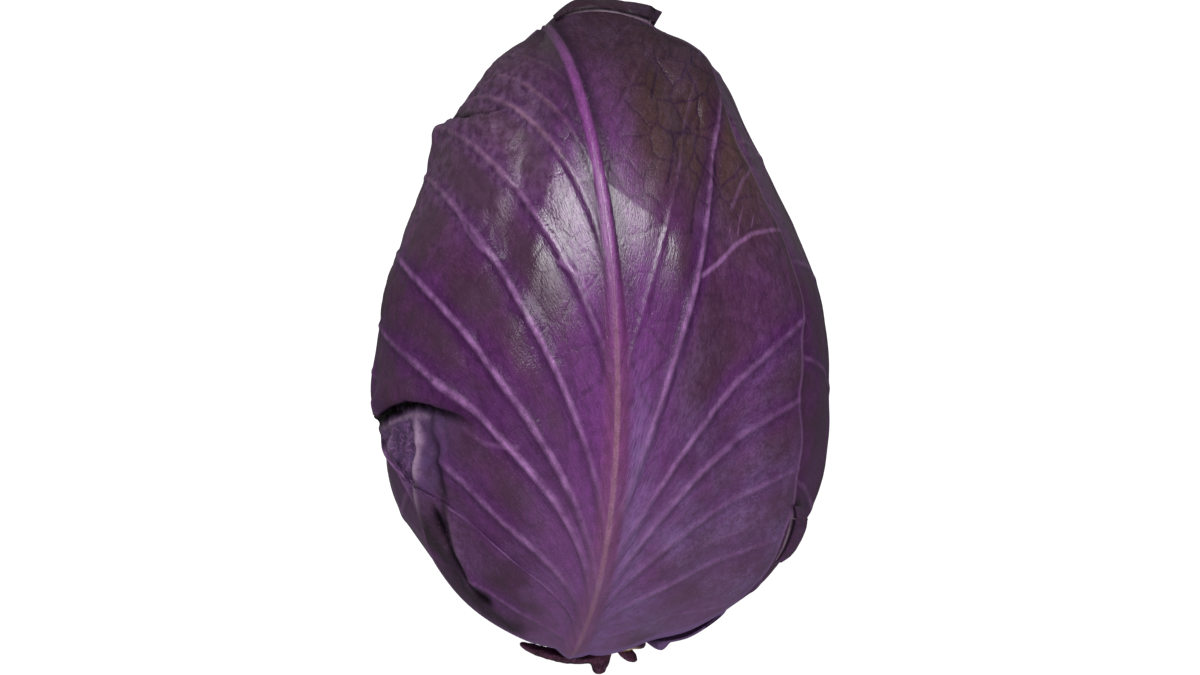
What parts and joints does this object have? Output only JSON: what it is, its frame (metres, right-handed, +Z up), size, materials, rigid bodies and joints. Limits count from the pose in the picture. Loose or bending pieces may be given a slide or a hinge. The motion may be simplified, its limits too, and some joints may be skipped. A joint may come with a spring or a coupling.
{
  "type": "red cabbage head",
  "caption": "Pointed red cabbage head lying on its side, with ribbed wrapper leaves round a tight heart and a cut stalk.",
  "frame": {"origin": "middle of the small flat spot on the underside that the head lies on", "axes": "+Z up, away from the surface it lies on; +Y along the head from the cut stalk to the tip; +X to the right of the leaf on top, seen from above with the tip pointing away"},
  "size_m": [0.1483, 0.2166, 0.1402],
  "materials": {
    "wrapper_leaf": "Stands for a waxy purple cabbage leaf: thin clear wax over deep violet and brown, paler lilac veins, soft sheen.",
    "under_leaf": "Stands for the waxy purple leaves under the top leaf, a little smoother and more violet, soft sheen.",
    "heart_leaf": "Stands for the tightly packed inner leaves, smooth and violet, paler towards the stalk, soft sheen.",
    "stalk": "Stands for a cut cabbage stalk: pale, fibrous and dry on the cut, dark purple on the broken leaf bases, matt."
  },
  "bodies": {
    "root": {"heart": "heart_leaf", "stalk": "stalk", "outer_leaf_1": "wrapper_leaf", "outer_leaf_2": "under_leaf", "outer_leaf_3": "under_leaf", "outer_leaf_4": "under_leaf", "outer_leaf_5": "under_leaf", "outer_leaf_6": "under_leaf"}
  },
  "joints": []
}
